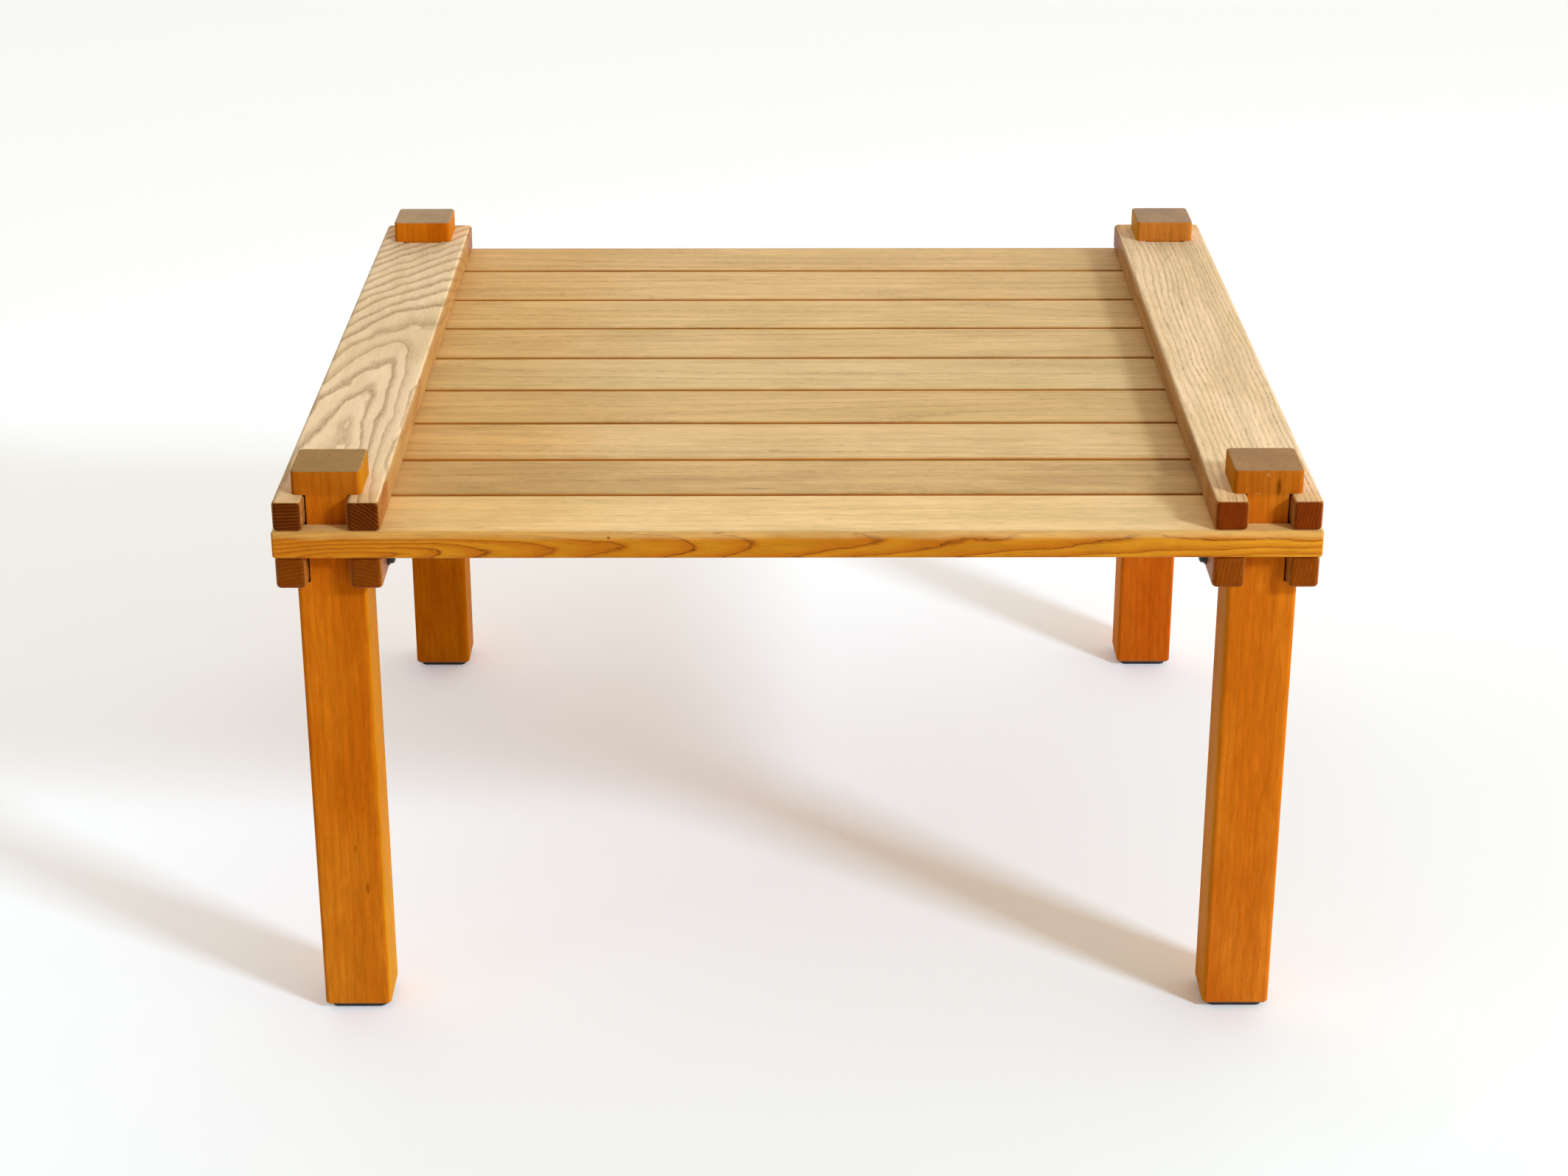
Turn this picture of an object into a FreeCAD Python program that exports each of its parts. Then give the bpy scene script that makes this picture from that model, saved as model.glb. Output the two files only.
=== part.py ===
import FreeCAD, Part
import os

import Sketcher

# A low slatted table that knocks down. Nine boards run from left to right between an upper and a
# lower batten at each end. The battens end in open forks, and each leg has a neck that stands in the
# forks, so that its head bears on the upper batten and its shoulders carry the lower one. A bolt
# through the lower batten's inner prong draws the neck sideways and locks it.
# The origin is on the floor at the middle of the table's box. X runs along the boards, Y from front
# to back, and Z is up. All sizes are millimetres.

# Boards of the deck, counted from the front
DECK_SIZES = {
    "slat_length": 800.0,
    "slat_thickness": 22.0,
    "slat_gap": 1.8,
    "slat_2_width": 76.8,
    "slat_3_width": 85.3,
    "slat_4_width": 81.8,
    "slat_5_width": 84.4,
    "slat_6_width": 82.7,
    "slat_7_width": 84.1,
    "slat_8_width": 91.1,
    "slat_front_margin": 10.3,
    "slat_rear_margin": 17.0,
    "slat_edge_radius": 2.2,
    "mortise_clearance": 0.4,
}

# Battens above and below the deck, and the prongs of their forks
BATTEN_SIZES = {
    "batten_end_inset": 1.5,
    "upper_batten_thickness": 24.0,
    "upper_batten_setback": 0.3,
    "upper_batten_overhang": 0.5,
    "upper_inner_prong": 26.0,
    "upper_outer_prong": 23.0,
    "lower_batten_thickness": 26.0,
    "lower_batten_setback": 2.3,
    "lower_inner_prong": 25.0,
    "lower_outer_prong": 23.5,
    "front_prong_projection": 16.0,
    "rear_prong_projection": 10.0,
    "fork_end_clearance": 0.3,
    "draw_gap": 1.2,
    "batten_corner_radius": 4.2,
    "batten_edge_radius": 3.3,
}

# Legs, and the pads under them
LEG_SIZES = {
    "leg_width": 53.5,
    "leg_depth": 50.5,
    "leg_height": 374.5,
    "leg_shoulder": 10.75,
    "head_height": 19.0,
    "leg_corner_radius": 4.0,
    "head_edge_radius": 1.6,
    "foot_chamfer": 2.0,
    "pad_inset": 4.25,
    "pad_thickness": 4.0,
    "pad_corner_radius": 6.0,
    "pad_edge_radius": 1.0,
}

# Draw bolts, their washers and the threaded inserts in the necks
BOLT_SIZES = {
    "bolt_diameter": 8.0,
    "bolt_head_diameter": 14.5,
    "bolt_head_height": 4.0,
    "bolt_head_round": 2.8,
    "bolt_socket_width": 5.0,
    "bolt_socket_depth": 2.4,
    "bolt_tip_chamfer": 0.8,
    "bolt_tip_clearance": 3.6,
    "bolt_hole_clearance": 0.5,
    "thread_clearance": 0.05,
    "washer_diameter": 17.0,
    "washer_thickness": 1.6,
    "washer_hole_clearance": 0.2,
    "washer_chamfer": 0.3,
    "insert_diameter": 12.0,
    "insert_ring_depth": 0.6,
    "insert_runout": 4.0,
    "insert_slot_width": 1.6,
    "insert_slot_depth": 2.0,
}

# Screws that hold the seven inner boards between the battens
SCREW_SIZES = {
    "screw_diameter": 5.0,
    "screw_head_diameter": 10.0,
    "screw_head_height": 2.5,
    "screw_tip_length": 4.0,
    "screw_cross_width": 1.2,
    "screw_cross_length": 5.0,
    "screw_cross_depth": 1.4,
    "pilot_clearance": 0.05,
}

# Shares of the pieces that hold them, and plain counts
NECK_DRILL_SHARE = 0.6875
SCREW_BITE_SHARE = 0.5
PILOT_DEPTH_SHARE = 0.6
INSERT_RINGS = 4
CUT_OVERRUN = 5.0
SAME_PLACE = 0.001

INNER_SLATS = ("slat_2", "slat_3", "slat_4", "slat_5", "slat_6", "slat_7", "slat_8")
SIDES = {"left": -1, "right": 1}
ENDS = ("front", "rear")

# Sizes and places that follow from the driving ones. Heights are over the floor, depths are from the
# front face of the deck, and widths are from the table's middle outwards.
DERIVED = {
    "neck_width": "sizes.leg_width - 2 * sizes.leg_shoulder",
    "fork_width": "neck_width + sizes.draw_gap",
    "upper_batten_width": "sizes.upper_inner_prong + fork_width + sizes.upper_outer_prong",
    "lower_batten_width": "sizes.lower_inner_prong + fork_width + sizes.lower_outer_prong",
    "neck_inner_x": "sizes.slat_length / 2 - sizes.batten_end_inset - sizes.upper_outer_prong - fork_width",
    "leg_x": "neck_inner_x + neck_width / 2",
    "upper_batten_x": "neck_inner_x - sizes.upper_inner_prong",
    "lower_batten_x": "neck_inner_x - sizes.lower_inner_prong",
    "upper_batten_front_y": "sizes.upper_batten_setback",
    "lower_batten_front_y": "upper_batten_front_y + sizes.lower_batten_setback",
    "leg_front_y": "upper_batten_front_y + sizes.front_prong_projection + sizes.leg_depth / 2",
    "slat_front_width": "leg_front_y + sizes.leg_depth / 2 + sizes.slat_front_margin",
    "slat_rear_width": "sizes.slat_rear_margin + sizes.leg_depth + sizes.rear_prong_projection"
    " - sizes.upper_batten_overhang",
    "slat_front_y": "0",
    "slat_2_y": "slat_front_width + sizes.slat_gap",
    "slat_3_y": "slat_2_y + sizes.slat_2_width + sizes.slat_gap",
    "slat_4_y": "slat_3_y + sizes.slat_3_width + sizes.slat_gap",
    "slat_5_y": "slat_4_y + sizes.slat_4_width + sizes.slat_gap",
    "slat_6_y": "slat_5_y + sizes.slat_5_width + sizes.slat_gap",
    "slat_7_y": "slat_6_y + sizes.slat_6_width + sizes.slat_gap",
    "slat_8_y": "slat_7_y + sizes.slat_7_width + sizes.slat_gap",
    "slat_rear_y": "slat_8_y + sizes.slat_8_width + sizes.slat_gap",
    "deck_depth": "slat_rear_y + slat_rear_width",
    "table_depth": "deck_depth + sizes.upper_batten_overhang",
    "upper_batten_rear_y": "table_depth",
    "lower_batten_rear_y": "table_depth - sizes.lower_batten_setback",
    "leg_rear_y": "table_depth - sizes.rear_prong_projection - sizes.leg_depth / 2",
    "front_fork_end_y": "leg_front_y + sizes.leg_depth / 2 + sizes.fork_end_clearance",
    "rear_fork_end_y": "leg_rear_y - sizes.leg_depth / 2 - sizes.fork_end_clearance",
    "lower_batten_z": "sizes.pad_thickness + sizes.leg_height",
    "slat_z": "lower_batten_z + sizes.lower_batten_thickness",
    "upper_batten_z": "slat_z + sizes.slat_thickness",
    "head_z": "upper_batten_z + sizes.upper_batten_thickness",
    "leg_length": "head_z + sizes.head_height - sizes.pad_thickness",
    "bolt_z": "lower_batten_z + sizes.lower_batten_thickness / 2",
    "neck_drill_depth": f"neck_width * {NECK_DRILL_SHARE}",
    "bolt_length": "sizes.washer_thickness + sizes.lower_inner_prong + neck_drill_depth"
    " - sizes.bolt_tip_clearance",
    "insert_length": "neck_drill_depth - sizes.insert_runout",
    "bolt_hole_diameter": "sizes.bolt_diameter + 2 * sizes.bolt_hole_clearance",
    "screw_length": "sizes.lower_batten_thickness + sizes.slat_thickness"
    f" + sizes.upper_batten_thickness * {SCREW_BITE_SHARE}",
    "pilot_diameter": "sizes.screw_diameter + 2 * sizes.pilot_clearance",
}


def fill_sheet(doc, name, cells):
    """A spreadsheet with one named cell for each entry."""
    sheet = doc.addObject("Spreadsheet::Sheet", name)
    for row, (alias, text) in enumerate(cells.items(), start=1):
        sheet.set(f"A{row}", alias)
        sheet.set(f"B{row}", text)
        sheet.setAlias(f"B{row}", alias)
    return sheet


def make_sheets(doc):
    """The sheet of driving sizes, and the sheet of places worked out from them."""
    driving = {**DECK_SIZES, **BATTEN_SIZES, **LEG_SIZES, **BOLT_SIZES, **SCREW_SIZES}
    driving["cut_overrun"] = CUT_OVERRUN
    fill_sheet(doc, "sizes", {name: str(value) for name, value in driving.items()})
    doc.recompute()
    fill_sheet(doc, "places", {name: f"={formula}" for name, formula in DERIVED.items()})
    doc.recompute()


def value_of(owner, formula):
    """The number that a formula on the sheets gives now."""
    return float(owner.evalExpression(formula))


def place(piece, x, y, z, turn=None):
    """Puts a piece at a place given by formulas, turned about its own origin."""
    if turn:
        piece.Placement = FreeCAD.Placement(FreeCAD.Vector(), FreeCAD.Rotation(*turn))
    piece.setExpression(".Placement.Base.x", x)
    piece.setExpression(".Placement.Base.y", y)
    piece.setExpression(".Placement.Base.z", z)


def new_body(doc, label):
    body = doc.addObject("PartDesign::Body", label)
    body.Label = label
    return body


def new_sketch(body, name, role="XY_Plane", lift=None):
    """A sketch on one of the body's own planes, lifted along its normal by a formula."""
    plane = next(item for item in body.Origin.OriginFeatures if item.Role == role)
    sketch = body.newObject("Sketcher::SketchObject", name)
    sketch.AttachmentSupport = [(plane, "")]
    sketch.MapMode = "FlatFace"
    if lift:
        sketch.setExpression(".AttachmentOffset.Base.z", lift)
    return sketch


def tie(sketch, kind, corner, formula):
    """Holds a point of the sketch at a distance from its origin that a formula gives."""
    value = value_of(sketch, formula)
    index = sketch.addConstraint(Sketcher.Constraint(kind, -1, 1, *corner, value))
    sketch.setExpression(f"Constraints[{index}]", formula)


def draw_polygon(sketch, corners):
    """A closed outline through corners given as pairs of formulas."""
    first = sketch.GeometryCount
    spots = [FreeCAD.Vector(value_of(sketch, x), value_of(sketch, y), 0) for x, y in corners]
    count = len(corners)
    for i in range(count):
        sketch.addGeometry(Part.LineSegment(spots[i], spots[(i + 1) % count]))
    for i in range(count):
        following = first + (i + 1) % count
        sketch.addConstraint(Sketcher.Constraint("Coincident", first + i, 2, following, 1))
    for i, (x, y) in enumerate(corners):
        tie(sketch, "DistanceX", (first + i, 1), x)
        tie(sketch, "DistanceY", (first + i, 1), y)


def draw_rectangle(sketch, left, right, low, high):
    draw_polygon(sketch, [(left, low), (right, low), (right, high), (left, high)])


def draw_circle(sketch, x, y, diameter):
    centre = FreeCAD.Vector(value_of(sketch, x), value_of(sketch, y), 0)
    radius = value_of(sketch, diameter) / 2
    item = sketch.addGeometry(Part.Circle(centre, FreeCAD.Vector(0, 0, 1), radius))
    tie(sketch, "DistanceX", (item, 3), x)
    tie(sketch, "DistanceY", (item, 3), y)
    index = sketch.addConstraint(Sketcher.Constraint("Diameter", item, 2 * radius))
    sketch.setExpression(f"Constraints[{index}]", diameter)


def pad(body, name, sketch, length):
    feature = body.newObject("PartDesign::Pad", name)
    feature.Profile = sketch
    feature.setExpression("Length", length)
    body.Document.recompute()
    return feature


def pocket(body, name, sketch, length=None, along_normal=False):
    """Cuts to a depth given by a formula, against or along the sketch's normal, or right through."""
    before = body.Tip.Shape.Volume
    feature = body.newObject("PartDesign::Pocket", name)
    feature.Profile = sketch
    if length:
        feature.setExpression("Length", length)
        feature.Reversed = along_normal
    else:
        feature.Type = "ThroughAll"
        feature.SideType = "Symmetric"
    body.Document.recompute()
    if not feature.Shape.Volume < before:
        raise RuntimeError(f"{body.Label}: {name} cuts nothing")
    return feature


def revolve(body, name, sketch):
    feature = body.newObject("PartDesign::Revolution", name)
    feature.Profile = sketch
    feature.ReferenceAxis = (sketch, ["V_Axis"])
    body.Document.recompute()
    return feature


def mirror(body, name, original, role):
    """Repeats a feature on the other side of one of the body's own planes."""
    plane = next(item for item in body.Origin.OriginFeatures if item.Role == role)
    feature = body.newObject("PartDesign::Mirrored", name)
    feature.Originals = [original]
    feature.MirrorPlane = (plane, [""])
    body.Tip = feature
    body.Document.recompute()
    return feature


def dress(body, kind, name, wanted, size):
    """Rounds or chamfers the edges of the body that the test picks."""
    base = body.Tip
    edges = [f"Edge{i}" for i, edge in enumerate(base.Shape.Edges, start=1) if wanted(edge)]
    if not edges:
        raise RuntimeError(f"{body.Label}: no edges for {name}")
    feature = body.newObject(f"PartDesign::{kind}", name)
    feature.Base = (base, edges)
    feature.setExpression("Radius" if kind == "Fillet" else "Size", size)
    body.Document.recompute()
    return feature


def is_near(one, other):
    return abs(one - other) < SAME_PLACE


def is_upright(edge):
    box = edge.BoundBox
    return is_near(box.XMin, box.XMax) and is_near(box.YMin, box.YMax)


def is_level_at(edge, height):
    box = edge.BoundBox
    return is_near(box.ZMin, height) and is_near(box.ZMax, height)


def make_slat(doc, label, width, y):
    """One board of the deck, with all its edges eased."""
    body = new_body(doc, label)
    outline = new_sketch(body, f"{label}_outline")
    draw_rectangle(outline, "-sizes.slat_length / 2", "sizes.slat_length / 2", "0", width)
    pad(body, f"{label}_board", outline, "sizes.slat_thickness")
    dress(body, "Fillet", f"{label}_eased_edges", lambda edge: True, "sizes.slat_edge_radius")
    place(body, "0", f"{y} - places.table_depth / 2", "places.slat_z")
    return body


def cut_mortises(body, end):
    """Openings in an end board for the two legs, with the leg's own place and section."""
    name = f"{body.Label}_mortise"
    sketch = new_sketch(body, name)
    middle = f"places.leg_{end}_y - places.{body.Label}_y"
    half_width = "(sizes.leg_width / 2 + sizes.mortise_clearance)"
    half_depth = "(sizes.leg_depth / 2 + sizes.mortise_clearance)"
    left, right = f"places.leg_x - {half_width}", f"places.leg_x + {half_width}"
    draw_rectangle(sketch, left, right, f"{middle} - {half_depth}", f"{middle} + {half_depth}")
    opening = pocket(body, f"{name}_cut", sketch)
    mirror(body, f"{name}_pair", opening, "YZ_Plane")


def drill_slat(body, width):
    """One screw hole at each end of an inner board."""
    sketch = new_sketch(body, f"{body.Label}_holes")
    draw_circle(sketch, "places.leg_x", f"{width} / 2", "places.pilot_diameter")
    hole = pocket(body, f"{body.Label}_drill", sketch)
    mirror(body, f"{body.Label}_drill_pair", hole, "YZ_Plane")


def make_deck(doc):
    for end in ENDS:
        label = f"slat_{end}"
        body = make_slat(doc, label, f"places.{label}_width", f"places.{label}_y")
        cut_mortises(body, end)
    for label in INNER_SLATS:
        body = make_slat(doc, label, f"sizes.{label}_width", f"places.{label}_y")
        drill_slat(body, f"sizes.{label}_width")


def outwards(side, near, far):
    """A stretch across the table, from near to far of its middle, as a left and a right formula."""
    return (near, far) if SIDES[side] > 0 else (f"-({far})", f"-({near})")


def make_batten(doc, level, side):
    """A batten with an open fork at each end, drawn over the table's own middle and front face."""
    label = f"{level}_batten_{side}"
    inner_x = f"places.{level}_batten_x"
    front, rear = f"places.{level}_batten_front_y", f"places.{level}_batten_rear_y"
    thickness = f"sizes.{level}_batten_thickness"
    body = new_body(doc, label)
    outline = new_sketch(body, f"{label}_outline")
    span = outwards(side, inner_x, f"{inner_x} + places.{level}_batten_width")
    draw_rectangle(outline, *span, front, rear)
    pad(body, f"{label}_board", outline, thickness)
    forks = new_sketch(body, f"{label}_forks")
    slot = outwards(side, "places.neck_inner_x", "places.neck_inner_x + places.fork_width")
    draw_rectangle(forks, *slot, f"{front} - sizes.cut_overrun", "places.front_fork_end_y")
    draw_rectangle(forks, *slot, "places.rear_fork_end_y", f"{rear} + sizes.cut_overrun")
    pocket(body, f"{label}_fork_cut", forks)
    ends = [value_of(body, front), value_of(body, rear)]
    top = value_of(body, thickness)
    dress(
        body,
        "Fillet",
        f"{label}_prong_corners",
        lambda edge: is_upright(edge) and any(is_near(edge.CenterOfMass.y, y) for y in ends),
        "sizes.batten_corner_radius",
    )
    dress(
        body,
        "Fillet",
        f"{label}_eased_edges",
        lambda edge: is_level_at(edge, 0) or is_level_at(edge, top),
        "sizes.batten_edge_radius",
    )
    place(body, "0", "-places.table_depth / 2", f"places.{level}_batten_z")
    return body


def drill_batten(body, side, depth=None):
    """Screw holes from below under the middle of each inner board."""
    sketch = new_sketch(body, f"{body.Label}_holes")
    across = "places.leg_x" if SIDES[side] > 0 else "-places.leg_x"
    for slat in INNER_SLATS:
        middle = f"places.{slat}_y + sizes.{slat}_width / 2"
        draw_circle(sketch, across, middle, "places.pilot_diameter")
    return pocket(body, f"{body.Label}_drill", sketch, depth, along_normal=True)


def make_battens(doc):
    for side in SIDES:
        upper = make_batten(doc, "upper", side)
        drill_batten(upper, side, f"sizes.upper_batten_thickness * {PILOT_DEPTH_SHARE}")
        lower = make_batten(doc, "lower", side)
        cut_bolt_holes(lower, side)
        drill_batten(lower, side)
        rim = value_of(lower, "places.pilot_diameter")
        dress(
            lower,
            "Chamfer",
            f"{lower.Label}_countersinks",
            lambda edge: is_level_at(edge, 0) and is_near(edge.BoundBox.XLength, rim),
            "sizes.screw_head_height",
        )


def cut_bolt_holes(body, side):
    """A clearance hole through the inner prong at each end, on the leg's middle line."""
    to_the_right = SIDES[side] > 0
    inner_face = "places.lower_batten_x" if to_the_right else "-places.lower_batten_x"
    sketch = new_sketch(body, f"{body.Label}_bolt_holes", "YZ_Plane", inner_face)
    height = "sizes.lower_batten_thickness / 2"
    for end in ENDS:
        draw_circle(sketch, f"places.leg_{end}_y", height, "places.bolt_hole_diameter")
    pocket(body, f"{body.Label}_bolt_drill", sketch, "sizes.lower_inner_prong", to_the_right)


def make_leg(doc, end, side):
    """A square leg with a neck cut from its two sides. Its own X points away from the table."""
    label = f"leg_{end}_{side}"
    body = new_body(doc, label)
    outline = new_sketch(body, f"{label}_outline")
    half_width, half_depth = "sizes.leg_width / 2", "sizes.leg_depth / 2"
    draw_rectangle(outline, f"-{half_width}", half_width, f"-{half_depth}", half_depth)
    pad(body, f"{label}_post", outline, "places.leg_length")
    notch = new_sketch(body, f"{label}_notch", "XZ_Plane")
    shoulder, under_head = "sizes.leg_height", "places.head_z - sizes.pad_thickness"
    edge_of_neck, past_side = "places.neck_width / 2", f"{half_width} + sizes.cut_overrun"
    draw_rectangle(notch, edge_of_neck, past_side, shoulder, under_head)
    cut = pocket(body, f"{label}_notch_cut", notch)
    mirror(body, f"{label}_neck", cut, "YZ_Plane")
    side_x = value_of(body, half_width)
    top = value_of(body, "places.leg_length")
    dress(
        body,
        "Fillet",
        f"{label}_corners",
        lambda edge: is_upright(edge) and is_near(abs(edge.CenterOfMass.x), side_x),
        "sizes.leg_corner_radius",
    )
    dress(
        body,
        "Fillet",
        f"{label}_head_edges",
        lambda edge: is_level_at(edge, top),
        "sizes.head_edge_radius",
    )
    dress(
        body,
        "Chamfer",
        f"{label}_foot_edges",
        lambda edge: is_level_at(edge, 0),
        "sizes.foot_chamfer",
    )
    drill_neck(body)
    across = ("-" if SIDES[side] < 0 else "") + "places.leg_x"
    turn = (FreeCAD.Vector(0, 0, 1), 180) if SIDES[side] < 0 else None
    place(body, across, leg_depth_place(end), "sizes.pad_thickness", turn)
    return body


def leg_depth_place(end):
    """The Y of the legs at one end of the table."""
    return f"places.leg_{end}_y - places.table_depth / 2"


def drill_neck(body):
    """A stepped blind hole for the insert and the bolt's tip, from the neck's inner face."""
    inner_face = "-places.neck_width / 2"
    height = "places.bolt_z - sizes.pad_thickness"
    seat = new_sketch(body, f"{body.Label}_insert_seat", "YZ_Plane", inner_face)
    draw_circle(seat, "0", height, "sizes.insert_diameter")
    pocket(body, f"{body.Label}_insert_drill", seat, "places.insert_length", along_normal=True)
    tip = new_sketch(body, f"{body.Label}_tip_hole", "YZ_Plane", inner_face)
    draw_circle(tip, "0", height, "places.bolt_hole_diameter")
    pocket(body, f"{body.Label}_tip_drill", tip, "places.neck_drill_depth", along_normal=True)


def make_foot_pad(doc, end, side):
    """A thin pad under the leg, a little smaller than its foot."""
    label = f"foot_pad_{end}_{side}"
    body = new_body(doc, label)
    outline = new_sketch(body, f"{label}_outline")
    half_width = "(sizes.leg_width / 2 - sizes.pad_inset)"
    half_depth = "(sizes.leg_depth / 2 - sizes.pad_inset)"
    draw_rectangle(outline, f"-{half_width}", half_width, f"-{half_depth}", half_depth)
    pad(body, f"{label}_sheet", outline, "sizes.pad_thickness")
    dress(body, "Fillet", f"{label}_corners", is_upright, "sizes.pad_corner_radius")
    dress(
        body,
        "Fillet",
        f"{label}_lower_edge",
        lambda edge: is_level_at(edge, 0),
        "sizes.pad_edge_radius",
    )
    across = ("-" if SIDES[side] < 0 else "") + "places.leg_x"
    place(body, across, leg_depth_place(end), "0")


def place_on_bolt_line(piece, end, side, outwards):
    """Puts a piece whose own Z is the bolt's axis at a distance from the table's middle."""
    turn = (FreeCAD.Vector(0, 1, 0), 90 * SIDES[side])
    sign = "-" if SIDES[side] < 0 else ""
    place(piece, f"{sign}({outwards})", leg_depth_place(end), "places.bolt_z", turn)


def make_draw_bolt(doc, end, side):
    """A domed bolt with a hexagon socket. Its own Z runs from under the head to the tip."""
    label = f"draw_bolt_{end}_{side}"
    body = new_body(doc, label)
    head, shank = "sizes.bolt_head_diameter / 2", "sizes.bolt_diameter / 2"
    length, chamfer = "places.bolt_length", "sizes.bolt_tip_chamfer"
    profile = new_sketch(body, f"{label}_profile", "XZ_Plane")
    corners = [
        ("0", "-sizes.bolt_head_height"),
        (head, "-sizes.bolt_head_height"),
        (head, "0"),
        (shank, "0"),
        (shank, f"{length} - {chamfer}"),
        (f"{shank} - {chamfer}", length),
        ("0", length),
    ]
    draw_polygon(profile, corners)
    revolve(body, f"{label}_turned", profile)
    top = value_of(body, "-sizes.bolt_head_height")
    dress(
        body,
        "Fillet",
        f"{label}_dome",
        lambda edge: is_level_at(edge, top),
        "sizes.bolt_head_round",
    )
    socket = new_sketch(body, f"{label}_socket", "XY_Plane", "-sizes.bolt_head_height")
    half_flat = "sizes.bolt_socket_width / 2"
    point, half_side = f"{half_flat} * 2 / sqrt(3)", f"{half_flat} / sqrt(3)"
    hexagon = [
        (point, "0"),
        (half_side, half_flat),
        (f"-{half_side}", half_flat),
        (f"-{point}", "0"),
        (f"-{half_side}", f"-{half_flat}"),
        (half_side, f"-{half_flat}"),
    ]
    draw_polygon(socket, hexagon)
    pocket(body, f"{label}_socket_cut", socket, "sizes.bolt_socket_depth", along_normal=True)
    place_on_bolt_line(body, end, side, "places.lower_batten_x - sizes.washer_thickness")


def make_washer(doc, end, side):
    """A plain washer between the bolt's head and the lower batten."""
    label = f"bolt_washer_{end}_{side}"
    body = new_body(doc, label)
    ring = new_sketch(body, f"{label}_ring")
    draw_circle(ring, "0", "0", "sizes.washer_diameter")
    draw_circle(ring, "0", "0", "sizes.bolt_diameter + 2 * sizes.washer_hole_clearance")
    pad(body, f"{label}_disc", ring, "sizes.washer_thickness")
    rim = value_of(body, "sizes.washer_diameter")
    dress(
        body,
        "Chamfer",
        f"{label}_rim",
        lambda edge: is_level_at(edge, 0) and is_near(edge.BoundBox.XLength, rim),
        "sizes.washer_chamfer",
    )
    place_on_bolt_line(body, end, side, "places.lower_batten_x - sizes.washer_thickness")


def make_insert(doc, end, side):
    """A ringed metal sleeve in the neck, with a slot across its mouth for driving it in."""
    label = f"threaded_insert_{end}_{side}"
    body = new_body(doc, label)
    bore = "(sizes.bolt_diameter / 2 + sizes.thread_clearance)"
    outside = "sizes.insert_diameter / 2"
    waist = f"{outside} - sizes.insert_ring_depth"
    length = "places.insert_length"
    steps = 2 * INSERT_RINGS - 1
    corners = [(bore, "0")]
    for i in range(steps):
        radius = waist if i % 2 else outside
        corners.append((radius, f"{length} * {i} / {steps}"))
        corners.append((radius, f"{length} * {i + 1} / {steps}"))
    corners.append((bore, length))
    profile = new_sketch(body, f"{label}_profile", "XZ_Plane")
    draw_polygon(profile, corners)
    revolve(body, f"{label}_turned", profile)
    slot = new_sketch(body, f"{label}_slot")
    half_slot, past = "sizes.insert_slot_width / 2", f"{outside} + sizes.cut_overrun"
    draw_rectangle(slot, f"-({past})", past, f"-{half_slot}", half_slot)
    pocket(body, f"{label}_slot_cut", slot, "sizes.insert_slot_depth", along_normal=True)
    place_on_bolt_line(body, end, side, "places.neck_inner_x")


def make_legs(doc):
    for end in ENDS:
        for side in SIDES:
            make_leg(doc, end, side)
            make_foot_pad(doc, end, side)
            make_insert(doc, end, side)
            make_washer(doc, end, side)
            make_draw_bolt(doc, end, side)


def make_screw(doc, name):
    """A countersunk screw that points up, with a cross in its head."""
    shank = doc.addObject("Part::Cylinder", f"{name}_shank")
    shank.setExpression("Radius", "sizes.screw_diameter / 2")
    shank.setExpression("Height", "places.screw_length - sizes.screw_tip_length")
    head = doc.addObject("Part::Cone", f"{name}_head")
    head.setExpression("Radius1", "sizes.screw_head_diameter / 2")
    head.setExpression("Radius2", "sizes.screw_diameter / 2")
    head.setExpression("Height", "sizes.screw_head_height")
    tip = doc.addObject("Part::Cone", f"{name}_tip")
    tip.setExpression("Radius1", "sizes.screw_diameter / 2")
    tip.Radius2 = 0
    tip.setExpression("Height", "sizes.screw_tip_length")
    place(tip, "0", "0", "places.screw_length - sizes.screw_tip_length")
    solid = doc.addObject("Part::MultiFuse", f"{name}_solid")
    solid.Shapes = [head, shank, tip]
    solid.Refine = True
    arms = []
    for arm, (along, across) in {"a": ("Length", "Width"), "b": ("Width", "Length")}.items():
        bar = doc.addObject("Part::Box", f"{name}_cross_{arm}")
        bar.setExpression(along, "sizes.screw_cross_length")
        bar.setExpression(across, "sizes.screw_cross_width")
        bar.setExpression("Height", "sizes.screw_cross_depth + sizes.cut_overrun")
        place(bar, f"-{bar.Name}.Length / 2", f"-{bar.Name}.Width / 2", "-sizes.cut_overrun")
        arms.append(bar)
    cross = doc.addObject("Part::MultiFuse", f"{name}_cross")
    cross.Shapes = arms
    screw = doc.addObject("Part::Cut", name)
    screw.Base = solid
    screw.Tool = cross
    return screw


def make_screws(doc, side):
    """The seven screws through one lower batten, one under the middle of each inner board."""
    screws = []
    for slat in INNER_SLATS:
        screw = make_screw(doc, f"screw_{side}_{slat}")
        across = ("-" if SIDES[side] < 0 else "") + "places.leg_x"
        middle = f"places.{slat}_y + sizes.{slat}_width / 2 - places.table_depth / 2"
        place(screw, across, middle, "places.lower_batten_z")
        screws.append(screw)
    group = doc.addObject("Part::Compound", f"slat_screws_{side}")
    group.Label = f"slat_screws_{side}"
    group.Links = screws
    return group


def write_parts(doc, pieces):
    """Checks every object, then writes one file for each piece."""
    for item in doc.Objects:
        if "Invalid" in item.State or "Error" in item.State:
            raise RuntimeError(f"{item.Name} failed to compute")
    os.makedirs("parts", exist_ok=True)
    for piece in pieces:
        if piece.Shape.isNull() or not piece.Shape.isValid():
            raise RuntimeError(f"{piece.Label} has no valid shape")
    for piece in pieces:
        piece.Shape.exportStep(f"parts/{piece.Label}.step")
        count = len(piece.Shape.Solids)
        print(f"{piece.Label}: {count} solid(s), {piece.Shape.Volume:.0f} mm3")


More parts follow.
